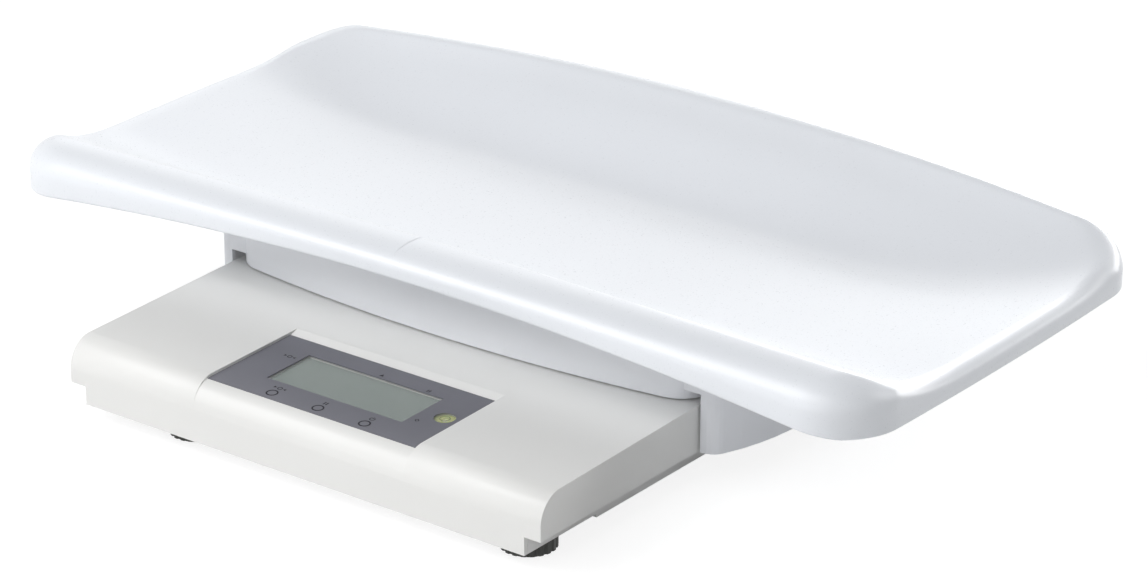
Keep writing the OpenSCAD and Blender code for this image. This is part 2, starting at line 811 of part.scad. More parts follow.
module tray_bosses() {
    color(cool_white) placed()
        for (p = post_places) translate([p[0], p[1], cover_top]) difference() {
            cylinder(r = post_r, h = tray_floor - tray_t - cover_top);
            translate([0, 0, -past])
                cylinder(r = 2 + fit, h = tray_floor - tray_t - cover_top + past - 0.4);
        }
}

// ---- tray surface ----------------------------------------------------------------------------

tray_mid = cell_y;
crest_half = tray_half - side_roll;
crest_front = tray_y + front_roll;
crest_rear = tray_rear - side_roll;
flat_half = 140;
flat_part = 0.38;

// 1 in the middle of the length, 0 at the corners
function arch(x) = max(0, 1 - pow(x / (crest_half - 8), 2));
function crest_back(x) = crest_rear + rear_bow * arch(x);
function floor_z(x) =
    tray_floor + end_rise * pow(max(0, (abs(x) - flat_half) / (crest_half + end_bow - flat_half)), 2);

function smooth(a, b, t) = let (s = max(0, min(1, (t - a) / (b - a)))) s * s * (3 - 2 * s);
function rise(t, power) = pow(max(0, (t - flat_part) / (1 - flat_part)), power);

// Rear wall: a plain rise at the ends, a fold with a wall above it in the middle
fold_share = 0.5;
function rear_rise(x, t) =
    let (k = fold_share * arch(x))
    (1 - k) * rise(t, 2.4) + k * (0.7 * smooth(0.42, 0.86, t) + 0.3 * rise(t, 1.5));

// Height of the tray's upper surface
function tray_height(x, y) =
    let (back = crest_back(x))
    y < tray_mid
        ? let (t = (tray_mid - y) / (tray_mid - crest_front))
          floor_z(x) + (front_crest - front_fall * (1 - arch(x)) - floor_z(x)) * rise(t, 2.3)
        : let (t = (y - tray_mid) / (back - tray_mid))
          floor_z(x) + (rear_crest - rear_fall * (1 - arch(x)) - floor_z(x)) * rear_rise(x, t);

// ---- tray cover -------------------------------------------------------------------------------

cover_mid = cell_y;
cover_reach = cover_mid - cover_y - cover_r * 0.6;
swell_steps = 24;
side_steps = 16;

// Half width of the cover's side at a distance from its middle
function side_x(d) = cover_half - cover_waist * pow(abs(d) / cover_reach, 3.3);

// Front wall between the corners: flat outside, swelling forward in the middle
swell_y = cover_y - swell_d;
swell_tilt = atan(2 * swell_bow / swell_half);
swell_end = [swell_half - swell_r * sin(swell_tilt), swell_y + swell_bow + swell_r * cos(swell_tilt)];
swell_meet = acos((swell_end[1] - cover_y) / swell_r);
function front_y(x) = swell_y + swell_bow * pow(x / swell_half, 2);

function corner(cx, cy, r, from, to, n) = [
    for (i = [0 : n]) let (a = from + (to - from) * i / n) [cx + r * cos(a), cy + r * sin(a)]
];

corner_tilt = 25;
corner_x = side_x(cover_reach) - cover_r * cos(corner_tilt);

// Right half of the cover's plan, from the middle of the front round to the middle of the rear
cover_right = concat(
    [for (i = [0 : swell_steps - 1]) let (x = swell_half * i / swell_steps) [x, front_y(x)]],
    corner(swell_end[0], swell_end[1], swell_r, swell_tilt - 90, swell_meet - 90, 6),
    corner(corner_x, cover_y + cover_r, cover_r, -90, -corner_tilt, 5),
    [for (i = [1 : side_steps - 1])
        let (d = cover_reach * (1 - 2 * i / side_steps)) [side_x(d), cover_mid - d]],
    corner(corner_x, cover_rear - cover_r, cover_r, corner_tilt, 90, 5)
);
cover_plan = concat(
    cover_right,
    [for (i = [len(cover_right) - 1 : -1 : 1]) [-cover_right[i][0], cover_right[i][1]]]
);

// A closed plan moved inwards by d, point by point
function inset(loop, d) = [
    for (i = [0 : len(loop) - 1])
        let (a = loop[(i + len(loop) - 1) % len(loop)], b = loop[(i + 1) % len(loop)],
             t = (b - a) / norm(b - a))
        loop[i] + d * [-t[1], t[0]]
];

// Side view of the cover's upper edge, which follows the tray's underside
seat_gap = 0.8;
function seat_z(y) = min([for (x = [0 : 30 : cover_half]) tray_height(x, y)]) - tray_t - seat_gap;
edge_steps = 24;
cover_edge = [for (i = [0 : edge_steps])
    let (y = swell_y + (cover_rear - swell_y) * i / edge_steps) [y, seat_z(y)]];

module cover_side_view() {
    polygon(concat(
        [[swell_y - past, 0], [swell_y - past, seat_z(swell_y)]],
        cover_edge,
        [[cover_rear + past, seat_z(cover_rear)], [cover_rear + past, 0]]
    ));
}

// Upright round wall at one end of the swelling, reaching back into the opening beside it
return_wall = 1.4 * cover_wall;
return_from = 0.65 * swell_r;
module swell_return(side, top) {
    translate([side * swell_end[0], swell_end[1], 0]) intersection() {
        difference() {
            cylinder(r = swell_r, h = top);
            translate([0, 0, -past]) cylinder(r = swell_r - return_wall, h = top + 2 * past);
        }
        translate([side * (return_from + swell_r / 2), -swell_r / 2, top / 2])
            cube([swell_r, swell_r, top + past], center = true);
    }
}

module tray_cover() {
    notch_top = top_at(cover_y) + notch_h;
    color(cool_white) placed() difference() {
        union() {
            difference() {
                intersection() {
                    translate([0, 0, side_lift]) linear_extrude(100) polygon(cover_plan);
                    across(2 * cover_half + 10) cover_side_view();
                }
                // hollow under the top plate
                translate([0, 0, -past]) linear_extrude(cover_top - cover_wall + past)
                    polygon(inset(cover_plan, cover_wall));
                // open space between the walls above the top plate
                translate([0, 0, cover_top]) linear_extrude(60)
                    polygon(inset(cover_plan, cover_wall));
                // the two openings beside the swelling
                for (side = [-1, 1]) difference() {
                    translate([side * (swell_half + console_half + 1.5) / 2, cover_y, notch_top / 2])
                        cube([console_half + 1.5 - swell_half, 4 * cover_wall, notch_top],
                             center = true);
                    translate([side * swell_end[0], swell_end[1], -past])
                        cylinder(r = swell_r, h = notch_top + 2 * past);
                }
            }
            for (side = [-1, 1]) swell_return(side, notch_top + cover_wall / 2);
        }
        // the console passes under the front wall
        hull() for (y = [0, console_l + 5])
            translate([-console_half - 1, y, -past])
                cube([console_w + 2, 0.01, top_at(y) + cover_gap + past]);
        for (p = post_places) translate([p[0], p[1], cover_top - 2 * cover_wall]) cylinder(r = 2.2, h = 10);
    }
}

// ---- tray -------------------------------------------------------------------------------------

// Bowed rounded rectangle: half length, front, rear and the two corner radii, before the bows
end_steps = 10;
long_steps = 18;
round_steps = 7;
function box_loop(hx, yf, yr, rf, rr) = concat(
    [for (i = [0 : long_steps - 1]) [(hx - rf) * (-1 + 2 * i / long_steps), yf]],
    corner(hx - rf, yf + rf, rf, -90, 0, round_steps),
    [for (i = [1 : end_steps - 1]) [hx, yf + rf + (yr - rr - yf - rf) * i / end_steps]],
    corner(hx - rr, yr - rr, rr, 0, 90, round_steps),
    [for (i = [1 : long_steps - 1]) [(hx - rr) * (1 - 2 * i / long_steps), yr]],
    corner(-hx + rr, yr - rr, rr, 90, 180, round_steps),
    [for (i = [1 : end_steps - 1]) [-hx, yr - rr - (yr - rr - yf - rf) * i / end_steps]],
    corner(-hx + rf, yf + rf, rf, 180, 269.9, round_steps)
);
function bowed(p, hx, yf, yr) = let (v = (2 * p[1] - yf - yr) / (yr - yf), u = p[0] / hx) [
    p[0] + sign(p[0]) * end_bow * (1 - v * v) * u * u,
    p[1] + rear_bow * max(0, 1 - u * u) * max(0, v)
];
rim_loop = [for (p = box_loop(tray_half, tray_y, tray_rear, front_corner, rear_corner))
    bowed(p, tray_half, tray_y, tray_rear)];
crest_loop = [
    for (p = box_loop(crest_half, crest_front, crest_rear, crest_front_corner, crest_rear_corner))
        bowed(p, crest_half, crest_front, crest_rear)
];
around = len(rim_loop);

function rim_foot_z(p) = rim_foot + rim_arch * arch(p[0]);

// A point d inside the crest, square to the rim
function inside(i, d) = let (c = crest_loop[i], n = (c - rim_loop[i]) / norm(c - rim_loop[i])) c + d * n;
function lift(p) = tray_height(p[0], p[1]);
// Upper surface within crest_r of the crest, rounded so that it ends level on the crest
function crest_z(i, d) = lift(inside(i, d))
    - pow((crest_r - d) / crest_r, 2) * (lift(crest_loop[i]) - lift(inside(i, crest_r))) / 2;

centre = [0, tray_mid];
function inner_ring(s, drop) = [
    for (i = [0 : around - 1])
        let (p = centre + s * (inside(i, crest_r) - centre)) [p[0], p[1], lift(p) - drop]
];
function crest_ring(d, drop) = [
    for (i = [0 : around - 1]) let (p = inside(i, d)) [p[0], p[1], crest_z(i, d) - drop]
];
// The rim rolls over a quarter ellipse; thin = 0 gives the outside, rim_t the inside. Where the
// rim is wide the ellipse takes a share of its height, where it is narrow nearly a circle.
roll_share = 0.62;
roll_round = 0.93;
rim_t = tray_t * 0.8;
function lesser(a, b) = pow(pow(a, -4) + pow(b, -4), -0.25);
function roll_ring(a, thin) = [
    for (i = [0 : around - 1])
        let (c = crest_loop[i], o = rim_loop[i], w = norm(o - c), top = crest_z(i, 0),
             h = lesser(roll_share * (top - rim_foot_z(o)), roll_round * w),
             p = c + (o - c) * (1 - thin / w) * sin(a))
        [p[0], p[1], top - thin - (h - thin * roll_share) * (1 - cos(a))]
];
function foot_ring(thin) = [
    for (i = [0 : around - 1])
        let (c = crest_loop[i], o = rim_loop[i], w = norm(o - c), p = c + (o - c) * (1 - thin / w))
        [p[0], p[1], rim_foot_z(o)]
];

inner_steps = [0.18, 0.36, 0.5, 0.62, 0.73, 0.83, 0.92, 1];
roll_steps = [20, 40, 60, 78, 90];
tray_rings = concat(
    [for (s = inner_steps) inner_ring(s, 0)],
    [for (d = [5, 2.5, 0]) crest_ring(d, 0)],
    [for (a = roll_steps) roll_ring(a, 0)],
    [foot_ring(0), foot_ring(rim_t)],
    [for (a = [90, 60, 30]) roll_ring(a, rim_t)],
    [crest_ring(0, tray_t), crest_ring(5, tray_t)],
    [for (i = [len(inner_steps) - 1 : -1 : 0]) inner_ring(inner_steps[i], tray_t)]
);

// One closed skin through all the rings, with a fan at each end
module tray_shell() {
    rings = len(tray_rings);
    points = concat(
        [for (ring = tray_rings, p = ring) p],
        [[0, tray_mid, tray_floor], [0, tray_mid, tray_floor - tray_t]]
    );
    last = rings * around;
    faces = concat(
        [for (k = [0 : rings - 2], i = [0 : around - 1]) let (j = (i + 1) % around)
            [k * around + i, (k + 1) * around + j, k * around + j]],
        [for (k = [0 : rings - 2], i = [0 : around - 1]) let (j = (i + 1) % around)
            [k * around + i, (k + 1) * around + i, (k + 1) * around + j]],
        [for (i = [0 : around - 1]) [last, i, (i + 1) % around]],
        [for (i = [0 : around - 1])
            [last + 1, (rings - 1) * around + (i + 1) % around, (rings - 1) * around + i]]
    );
    color(cool_white) placed() polyhedron(points, faces);
}

// ---- feet -------------------------------------------------------------------------------------

pad_lip = 1.3;
pad_t = 2;
neck_r = 3;
neck_h = 3;
stud_up = 13;

module foot_inserts() {
    color([0.75, 0.62, 0.35]) placed()
        for (p = foot_places) translate([p[0], p[1], 0]) difference() {
            cylinder(r = insert_r, h = insert_h);
            translate([0, 0, -past]) cylinder(r = stud_r + fit, h = insert_h + 2 * past);
        }
}

module foot_pad(n) {
    p = foot_places[n];
    color(dark) placed() translate([p[0], p[1], -foot_drop]) {
        cylinder(r = pad_r, h = pad_t);
        translate([0, 0, pad_t - 0.01]) cylinder(r = neck_r, h = neck_h);
    }
}

module foot_wheel(n) {
    p = foot_places[n];
    wheel_h = foot_drop - pad_lip - wheel_gap;
    color(dark) placed() translate([p[0], p[1], -foot_drop + pad_lip]) difference() {
        linear_extrude(wheel_h) difference() {
            circle(wheel_r);
            for (i = [0 : scallops - 1])
                rotate(i * 360 / scallops) translate([wheel_r + 0.5, 0]) circle(1.3, $fn = 24);
        }
        // room for the pad and its neck
        translate([0, 0, -past]) cylinder(r = pad_r + 0.3, h = pad_t - pad_lip + 0.3 + past);
        translate([0, 0, -past]) cylinder(r = neck_r + fit, h = past + pad_t - pad_lip + neck_h + 0.3);
        translate([0, 0, wheel_h - 1]) cylinder(r = stud_r - 0.4, h = past + 1);
    }
}

module foot_stud(n) {
    p = foot_places[n];
    color(steel) placed() translate([p[0], p[1], 0]) {
        translate([0, 0, -wheel_gap]) cylinder(r = stud_r, h = stud_up + wheel_gap);
        translate([0, 0, -wheel_gap - 0.9]) cylinder(r = stud_r - 0.5, h = 1);
    }
}

module foot_front_left_pad() { foot_pad(0); }
module foot_front_left_wheel() { foot_wheel(0); }
module foot_front_left_stud() { foot_stud(0); }
module foot_front_right_pad() { foot_pad(1); }
module foot_front_right_wheel() { foot_wheel(1); }
module foot_front_right_stud() { foot_stud(1); }
module foot_rear_left_pad() { foot_pad(2); }
module foot_rear_left_wheel() { foot_wheel(2); }
module foot_rear_left_stud() { foot_stud(2); }
module foot_rear_right_pad() { foot_pad(3); }
module foot_rear_right_wheel() { foot_wheel(3); }
module foot_rear_right_stud() { foot_stud(3); }

console_housing();
bottom_cover();
chassis_plate();
housing_screws();
panel_film();
lcd_window();
lcd_glass();
lcd_backlight();
main_board();
board_screws();
tact_switches();
controller_parts();
level_vial();
level_liquid();
dc_jack();
battery_cells();
battery_contacts();
battery_door();
load_cell();
load_cell_packer();
load_cell_screws();
overload_stops();
key_left();
key_middle();
key_right();
tray_shell();
tray_bosses();
tray_cover();
platform_plate();
platform_posts();
platform_packer();
platform_screws();
tray_screws();
foot_inserts();
foot_front_left_pad();
foot_front_left_wheel();
foot_front_left_stud();
foot_front_right_pad();
foot_front_right_wheel();
foot_front_right_stud();
foot_rear_left_pad();
foot_rear_left_wheel();
foot_rear_left_stud();
foot_rear_right_pad();
foot_rear_right_wheel();
foot_rear_right_stud();
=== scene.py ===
"""Looks for the digital baby weighing scale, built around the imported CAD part."""

import json
import math

import bpy
import numpy as np
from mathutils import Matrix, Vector


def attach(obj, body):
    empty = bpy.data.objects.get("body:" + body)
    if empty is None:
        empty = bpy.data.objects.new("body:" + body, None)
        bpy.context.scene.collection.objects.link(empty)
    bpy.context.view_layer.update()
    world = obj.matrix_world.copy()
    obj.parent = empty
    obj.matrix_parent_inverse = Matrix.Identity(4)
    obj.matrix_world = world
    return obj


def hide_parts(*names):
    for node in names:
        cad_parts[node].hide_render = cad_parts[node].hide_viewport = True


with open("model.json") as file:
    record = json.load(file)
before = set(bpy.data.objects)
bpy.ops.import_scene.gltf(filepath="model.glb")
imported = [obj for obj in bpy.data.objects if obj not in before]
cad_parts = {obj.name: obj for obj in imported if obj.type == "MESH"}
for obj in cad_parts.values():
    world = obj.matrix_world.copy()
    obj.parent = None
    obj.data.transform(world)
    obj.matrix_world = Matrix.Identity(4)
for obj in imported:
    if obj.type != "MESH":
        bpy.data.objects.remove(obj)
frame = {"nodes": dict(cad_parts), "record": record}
NODES = frame["nodes"]
SLOT = {p["node"]: p["material_slot"] for p in frame["record"]["subparts"]}
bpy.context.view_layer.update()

# ---- places, as in part.scad: millimetres from the middle of the console's front face ----------

OVERALL_L = 376.6
FOOT_DROP = 9.5
CONSOLE_H = 34.2
TOP_SLOPE = 0.0215
TILT = math.atan(TOP_SLOPE)
FILM_TOP = -1.4


def placed(points):
    """From part.scad's console millimetres to the shared frame, in metres."""
    return (np.asarray(points, float) + [0, -OVERALL_L / 2, FOOT_DROP]) / 1000


def on_top(points):
    """From the console's tilted top plane to console millimetres."""
    p = np.asarray(points, float)
    c, s = math.cos(TILT), math.sin(TILT)
    return np.stack(
        [p[:, 0], p[:, 1] * c - p[:, 2] * s, CONSOLE_H + p[:, 1] * s + p[:, 2] * c], 1
    )


# ---- materials ---------------------------------------------------------------------------------

# where the display and the battery cells lie along the frame's Y, in metres
DISPLAY_Y = (-0.158, -0.1235)
CELLS_Y = (-0.1803, -0.0788)


class Surface:
    """A Principled material with helpers for procedural colour, roughness and bump."""

    def __init__(self, name):
        self.material = bpy.data.materials.new(name)
        self.material.use_nodes = True
        self.tree = self.material.node_tree
        self.bsdf = self.tree.nodes["Principled BSDF"]
        self.where = self.tree.nodes.new("ShaderNodeTexCoord").outputs["Object"]

    def link(self, a, b):
        self.tree.links.new(a, b)

    def put(self, socket, value):
        self.bsdf.inputs[socket].default_value = value

    def noise(self, scale, detail=3.0, stretch=None, distortion=0.0):
        n = self.tree.nodes.new("ShaderNodeTexNoise")
        n.inputs["Scale"].default_value = scale
        n.inputs["Detail"].default_value = detail
        n.inputs["Distortion"].default_value = distortion
        source = self.where
        if stretch:
            m = self.tree.nodes.new("ShaderNodeMapping")
            m.inputs["Scale"].default_value = stretch
            self.link(source, m.inputs["Vector"])
            source = m.outputs["Vector"]
        self.link(source, n.inputs["Vector"])
        return n.outputs["Fac"]

    def cells(self, scale):
        n = self.tree.nodes.new("ShaderNodeTexVoronoi")
        n.inputs["Scale"].default_value = scale
        self.link(self.where, n.inputs["Vector"])
        return n

    def axis(self, name, low, high):
        """0 to 1 along one axis of the shared frame, in metres."""
        s = self.tree.nodes.new("ShaderNodeSeparateXYZ")
        self.link(self.where, s.inputs[0])
        return self.span(s.outputs[name], low, high, 0, 1)

    def span(self, value, low, high, a, b):
        m = self.tree.nodes.new("ShaderNodeMapRange")
        for socket, number in zip(
            ("From Min", "From Max", "To Min", "To Max"), (low, high, a, b)
        ):
            m.inputs[socket].default_value = number
        self.link(value, m.inputs["Value"])
        return m.outputs["Result"]

    def ramp(self, value, *stops):
        r = self.tree.nodes.new("ShaderNodeValToRGB")
        e = r.color_ramp.elements
        while len(e) < len(stops):
            e.new(0.5)
        for item, (place, colour) in zip(e, stops):
            item.position = place
            item.color = (*colour, 1)
        self.link(value, r.inputs["Fac"])
        return r.outputs["Color"]

    def blend(self, factor, a, b, kind="MIX"):
        m = self.tree.nodes.new("ShaderNodeMix")
        m.data_type = "RGBA"
        m.blend_type = kind
        sockets = {s.identifier: s for s in m.inputs}
        if isinstance(factor, float):
            sockets["Factor_Float"].default_value = factor
        else:
            self.link(factor, sockets["Factor_Float"])
        self.link(a, sockets["A_Color"])
        self.link(b, sockets["B_Color"])
        return [s for s in m.outputs if s.identifier == "Result_Color"][0]

    def colour(self, source):
        self.link(source, self.bsdf.inputs["Base Color"])

    def rough(self, value, low, high):
        self.link(self.span(value, 0.3, 0.7, low, high), self.bsdf.inputs["Roughness"])

    def bump(self, value, strength, depth):
        b = self.tree.nodes.new("ShaderNodeBump")
        b.inputs["Strength"].default_value = strength
        b.inputs["Distance"].default_value = depth
        self.link(value, b.inputs["Height"])
        self.link(b.outputs["Normal"], self.bsdf.inputs["Normal"])


def shade(colour, by):
    return tuple(min(1.0, c * by) for c in colour)


def moulded(name, colour, rough, grain=1400.0, depth=0.00002, drift=0.985):
    """Moulded plastic: faint flow marks in the colour, a fine spark-eroded grain in the surface."""
    s = Surface(name)
    flow = s.noise(7.0, 2.0, distortion=0.6)
    s.colour(s.ramp(flow, (0.3, shade(colour, drift)), (0.7, colour)))
    fine = s.noise(grain, 2.0)
    s.rough(fine, rough - 0.03, rough + 0.03)
    s.bump(fine, 0.35, depth)
    return s.material


def metal(name, colour, rough, brushed=None, spangle=0.0):
    s = Surface(name)
    s.put("Metallic", 1.0)
    stretch = brushed or (1, 1, 1)
    streak = s.noise(700.0, 4.0, stretch=stretch)
    base = s.ramp(streak, (0.25, shade(colour, 0.86)), (0.75, colour))
    if spangle:
        cells = s.cells(spangle)
        tint = s.ramp(
            cells.outputs["Color"], (0.0, shade(colour, 0.78)), (1.0, colour)
        )
        base = s.blend(0.45, base, tint)
    s.colour(base)
    s.rough(streak, rough - 0.07, rough + 0.08)
    s.bump(streak, 0.3, 0.00002)
    return s.material


MATERIAL = {
    "console_white": moulded("console_white", (0.80, 0.80, 0.785), 0.42),
    "base_white": moulded("base_white", (0.78, 0.78, 0.77), 0.45),
    "tray_white": moulded(
        "tray_white", (0.82, 0.845, 0.885), 0.3, grain=900.0, depth=0.000004
    ),
    "cover_white": moulded("cover_white", (0.84, 0.855, 0.89), 0.42),
    "black_plastic": moulded("black_plastic", (0.030, 0.033, 0.028), 0.5, drift=0.8),
    "foot_rubber": moulded("foot_rubber", (0.022, 0.023, 0.021), 0.75, 700.0, 0.00008, 0.75),
    "zinc_steel": metal("zinc_steel", (0.62, 0.63, 0.65), 0.36, spangle=120.0),
    "black_steel": metal("black_steel", (0.06, 0.06, 0.065), 0.45),
    "cell_aluminium": metal("cell_aluminium", (0.77, 0.78, 0.8), 0.3, (0.02, 1, 1)),
    "nickel_plate": metal("nickel_plate", (0.72, 0.69, 0.62), 0.25, (1, 1, 0.05)),
    "insert_brass": metal("insert_brass", (0.76, 0.55, 0.25), 0.32, (1, 1, 0.05)),
}


def film_grey():
    s = Surface("film_grey")
    flow = s.noise(30.0, 2.0)
    s.colour(s.ramp(flow, (0.3, (0.150, 0.150, 0.176)), (0.7, (0.162, 0.162, 0.190))))
    fine = s.noise(3500.0, 2.0)
    s.rough(fine, 0.34, 0.46)
    s.bump(fine, 0.3, 0.000012)
    return s.material


def display_green():
    s = Surface("display_green")
    # painted shade: the display's green darkens steadily from its rear edge towards its front edge
    painted_display_shade = s.axis("Y", *DISPLAY_Y)
    base = s.ramp(painted_display_shade, (0.0, (0.132, 0.180, 0.157)), (1.0, (0.164, 0.210, 0.184)))
    cells = s.noise(420.0, 1.0, stretch=(1, 0.12, 1))
    tone = s.ramp(cells, (0.35, (0.975, 0.975, 0.975)), (0.65, (1.0, 1.0, 1.0)))
    s.colour(s.blend(1.0, base, tone, "MULTIPLY"))
    fine = s.noise(2600.0)
    s.rough(fine, 0.22, 0.3)
    s.bump(fine, 0.2, 0.00001)
    return s.material


def clear_pane():
    s = Surface("clear_pane")
    smear = s.noise(60.0, 3.0, distortion=0.5)
    s.colour(s.ramp(smear, (0.3, (0.80, 0.84, 0.82)), (0.7, (0.86, 0.89, 0.87))))
    s.rough(smear, 0.05, 0.12)
    s.put("Alpha", 0.14)
    return s.material


def vial_clear():
    s = Surface("vial_clear")
    swirl = s.noise(300.0, 2.0, distortion=0.8)
    s.colour(s.ramp(swirl, (0.3, (0.80, 0.84, 0.62)), (0.7, (0.86, 0.89, 0.70))))
    s.rough(swirl, 0.04, 0.1)
    s.put("Alpha", 0.22)
    return s.material


def level_green():
    s = Surface("level_green")
    swirl = s.noise(220.0, 2.0, distortion=0.8)
    s.colour(s.ramp(swirl, (0.3, (0.56, 0.61, 0.20)), (0.7, (0.63, 0.67, 0.27))))
    s.rough(swirl, 0.08, 0.14)
    s.put("Subsurface Weight", 0.25)
    s.put("Subsurface Scale", 0.002)
    return s.material


def diffuser_white():
    s = Surface("diffuser_white")
    milk = s.noise(160.0)
    s.colour(s.ramp(milk, (0.3, (0.80, 0.80, 0.77)), (0.7, (0.86, 0.86, 0.83))))
    s.rough(milk, 0.4, 0.5)
    return s.material


def board_green():
    s = Surface("board_green")
    tracks = s.noise(240.0, 1.0, stretch=(1, 0.15, 1))
    s.colour(
        s.ramp(
            tracks,
            (0.46, (0.012, 0.085, 0.035)),
            (0.5, (0.03, 0.15, 0.06)),
            (0.54, (0.012, 0.085, 0.035)),
        )
    )
    s.rough(tracks, 0.25, 0.35)
    s.bump(tracks, 0.4, 0.00003)
    return s.material


def cell_jacket():
    s = Surface("cell_jacket")
    wrap = s.axis("Y", *CELLS_Y)
    band = s.tree.nodes.new("ShaderNodeMath")
    band.operation = "PINGPONG"
    band.inputs[1].default_value = 0.25
    s.link(wrap, band.inputs[0])
    print_ = s.ramp(
        band.outputs[0],
        (0.0, (0.48, 0.30, 0.10)),
        (0.075, (0.50, 0.32, 0.11)),
        (0.08, (0.045, 0.05, 0.055)),
    )
    grime = s.noise(140.0)
    tone = s.ramp(grime, (0.3, (0.94, 0.94, 0.94)), (0.7, (1.0, 1.0, 1.0)))
    s.colour(s.blend(1.0, print_, tone, "MULTIPLY"))
    s.rough(grime, 0.25, 0.4)
    s.bump(grime, 0.2, 0.00002)
    return s.material


def ink():
    s = Surface("print_ink")
    fine = s.noise(2400.0)
    s.colour(s.ramp(fine, (0.3, (0.012, 0.012, 0.016)), (0.7, (0.022, 0.022, 0.028))))
    s.rough(fine, 0.5, 0.65)
    s.put("Specular IOR Level", 0.3)
    return s.material


for make in (
    film_grey,
    display_green,
    clear_pane,
    vial_clear,
    level_green,
    diffuser_white,
    board_green,
    cell_jacket,
    ink,
):
    MATERIAL[make.__name__] = make()


# ---- mesh helpers ------------------------------------------------------------------------------


def mesh_object(name, points, faces, material, angle=None):
    """A smooth-shaded mesh object from points in the shared frame."""
    mesh = bpy.data.meshes.new(name)
    mesh.from_pydata([tuple(p) for p in points], [], [tuple(f) for f in faces])
    mesh.validate()
    mesh.materials.append(material)
    mesh.polygons.foreach_set("use_smooth", [angle is None or angle > 0] * len(mesh.polygons))
    mesh.update()
    if angle:
        mesh.set_sharp_from_angle(angle=math.radians(angle))
    o = bpy.data.objects.new(name, mesh)
    bpy.context.scene.collection.objects.link(o)
    return o


def piece(o, body, slot, *nodes):
    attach(o, body)
    if nodes:
        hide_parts(*nodes)
    return o


# ---- carried-over CAD nodes --------------------------------------------------------------------

# bevel widths in metres
SOFT_EDGES = {
    "console_housing": 0.0009,
    "bottom_cover": 0.0005,
    "tray_cover": 0.0005,
    "battery_door": 0.0004,
}

for name, o in NODES.items():
    for material_slot in o.material_slots:
        material_slot.material = MATERIAL[SLOT[name]]
    if name in SOFT_EDGES:
        weld = o.modifiers.new("weld", "WELD")
        weld.merge_threshold = 0.00001
        bevel = o.modifiers.new("soft_edges", "BEVEL")
        bevel.width = SOFT_EDGES[name]
        bevel.segments = 3
        bevel.limit_method = "ANGLE"
        bevel.angle_limit = math.radians(40)
        bevel.use_clamp_overlap = True
        bevel.harden_normals = True

# ---- tray: the formula of part.scad, drawn finely ----------------------------------------------

TRAY_Y, TRAY_REAR, TRAY_MID = 84.7, 358.6, 228.0
TRAY_HALF, END_BOW, REAR_BOW = 289.2, 3.2, 18.0
TRAY_FLOOR, TRAY_T, END_RISE = 62.0, 3.0, 14.8
FRONT_ROLL, SIDE_ROLL, CREST_R = 24.4, 6.8, 8.0
FRONT_CREST, FRONT_FALL, REAR_CREST, REAR_FALL = 102.1, 6.4, 103.2, 11.4
RIM_FOOT, RIM_ARCH = 64.7, 17.3
FRONT_CORNER, REAR_CORNER = 37.0, 26.0
CREST_FRONT_CORNER, CREST_REAR_CORNER = 18.4, 32.0
ROLL_SHARE, ROLL_ROUND = 0.62, 0.93
FLAT_HALF, FLAT_PART, FOLD_SHARE = 140.0, 0.38, 0.5
FRONT_POWER, REAR_POWER, FOLD_POWER = 2.3, 2.4, 1.5
FOLD_FROM, FOLD_TO, FOLD_MIX = 0.42, 0.86, 0.7
ROLL_BLEND = 4
CREST_HALF = TRAY_HALF - SIDE_ROLL
CREST_FRONT = TRAY_Y + FRONT_ROLL
CREST_REAR = TRAY_REAR - SIDE_ROLL


def arch(x):
    return np.maximum(0, 1 - (x / (CREST_HALF - 8)) ** 2)


def smooth(a, b, t):
    s = np.clip((t - a) / (b - a), 0, 1)
    return s * s * (3 - 2 * s)


def rise(t, power):
    return np.maximum(0, (t - FLAT_PART) / (1 - FLAT_PART)) ** power


def tray_height(x, y):
    floor = TRAY_FLOOR + END_RISE * (
        np.maximum(0, (np.abs(x) - FLAT_HALF) / (CREST_HALF + END_BOW - FLAT_HALF)) ** 2
    )
    bow = arch(x)
    front = floor + (FRONT_CREST - FRONT_FALL * (1 - bow) - floor) * rise(
        (TRAY_MID - y) / (TRAY_MID - CREST_FRONT), FRONT_POWER
    )
    t = (y - TRAY_MID) / (CREST_REAR + REAR_BOW * bow - TRAY_MID)
    k = FOLD_SHARE * bow
    share = (1 - k) * rise(t, REAR_POWER) + k * (
        FOLD_MIX * smooth(FOLD_FROM, FOLD_TO, t) + (1 - FOLD_MIX) * rise(t, FOLD_POWER)
    )
    back = floor + (REAR_CREST - REAR_FALL * (1 - bow) - floor) * share
    return np.where(y < TRAY_MID, front, back)


LONG, END, ROUND = 96, 44, 26


def box_loop(hx, yf, yr, rf, rr):
    """Rounded rectangle, counted from its front left corner, all sides with the same counts."""
    out = []

    def line(a, b, n, first=0):
        for i in range(first, n):
            out.append([a[0] + (b[0] - a[0]) * i / n, a[1] + (b[1] - a[1]) * i / n])

    def corner(cx, cy, r, start):
        for i in range(ROUND + 1):
            a = math.radians(start + 90 * i / ROUND)
            out.append([cx + r * math.cos(a), cy + r * math.sin(a)])

    line((-(hx - rf), yf), (hx - rf, yf), LONG)
    corner(hx - rf, yf + rf, rf, -90)
    line((hx, yf + rf), (hx, yr - rr), END, 1)
    corner(hx - rr, yr - rr, rr, 0)
    line((hx - rr, yr), (-(hx - rr), yr), LONG, 1)
    corner(-(hx - rr), yr - rr, rr, 90)
    line((-hx, yr - rr), (-hx, yf + rf), END, 1)
    corner(-(hx - rf), yf + rf, rf, 180)
    out.pop()
    return np.array(out)


def bowed(p, hx, yf, yr):
    v = (2 * p[:, 1] - yf - yr) / (yr - yf)
    u = p[:, 0] / hx
    x = p[:, 0] + np.sign(p[:, 0]) * END_BOW * (1 - v * v) * u * u
    y = p[:, 1] + REAR_BOW * np.maximum(0, 1 - u * u) * np.maximum(0, v)
    return np.stack([x, y], 1)


